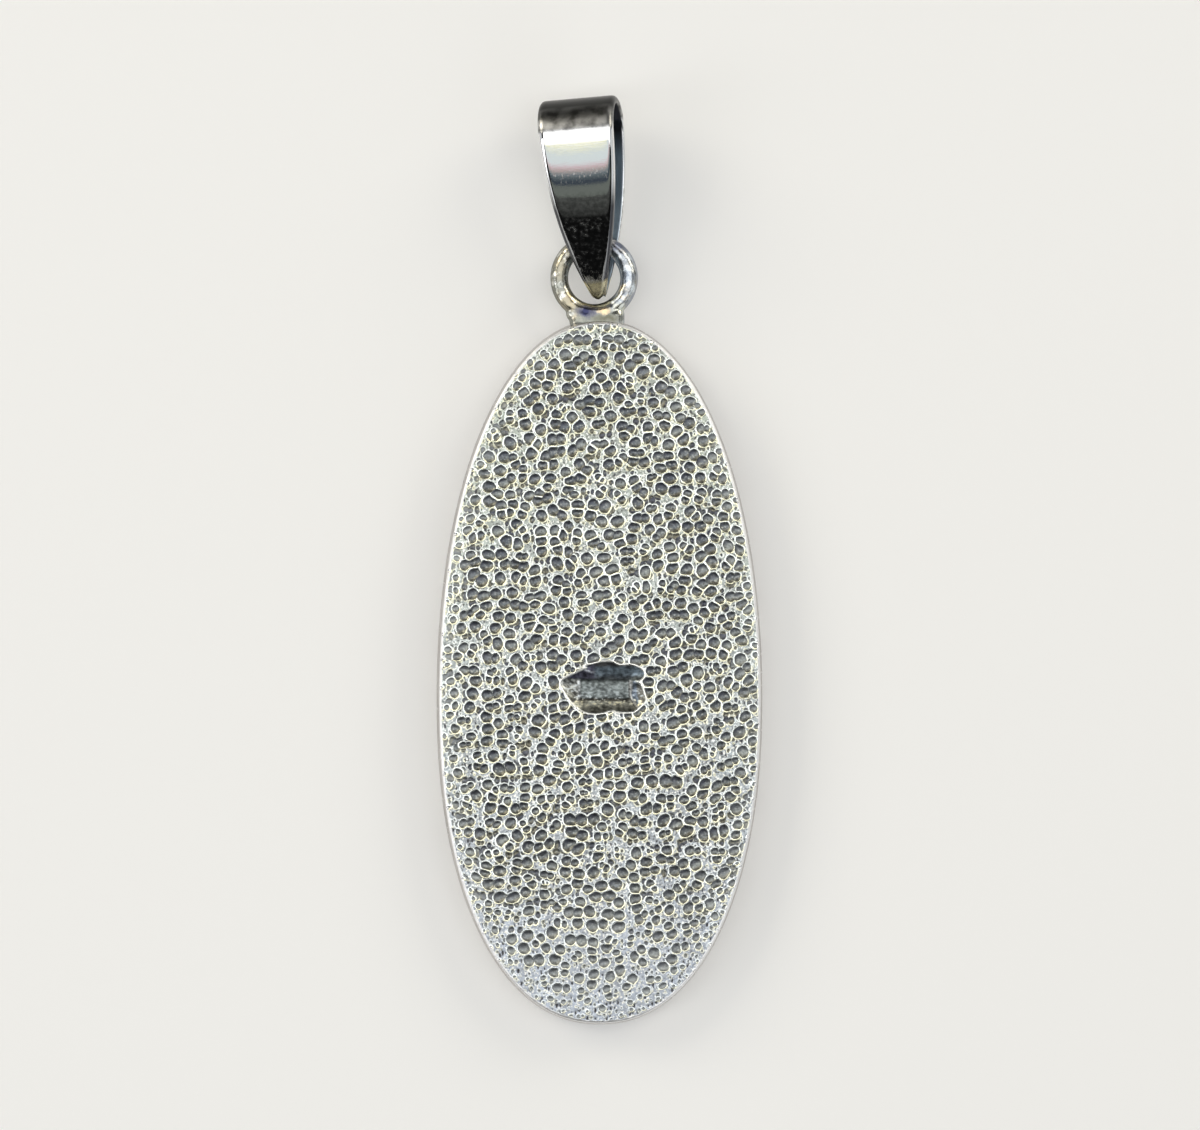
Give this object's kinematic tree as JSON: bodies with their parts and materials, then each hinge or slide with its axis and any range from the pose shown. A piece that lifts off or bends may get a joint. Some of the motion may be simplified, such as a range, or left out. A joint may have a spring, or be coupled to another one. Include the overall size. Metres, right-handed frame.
{
  "type": "oval pendant",
  "caption": "Long oval silver pendant with a pitted oxidised back, a soldered hanging ring and a folded tapered bail, lying face down.",
  "frame": {"origin": "on the flat front face that the pendant lies on, below the widest part of the oval plate", "axes": "+Y along the pendant towards its ring and bail, +Z out of the textured back, +X to the right when the back is seen with the bail at the top"},
  "size_m": [0.0164, 0.0465, 0.0049],
  "materials": {
    "oxidised_silver": "cast silver, bright on the high parts and grey in the pits, with a polished edge",
    "polished_silver": "mirror-polished silver strip with fine wear scratches"
  },
  "bodies": {
    "root": {"oval_plate": "oxidised_silver", "bail": "polished_silver"}
  },
  "joints": []
}
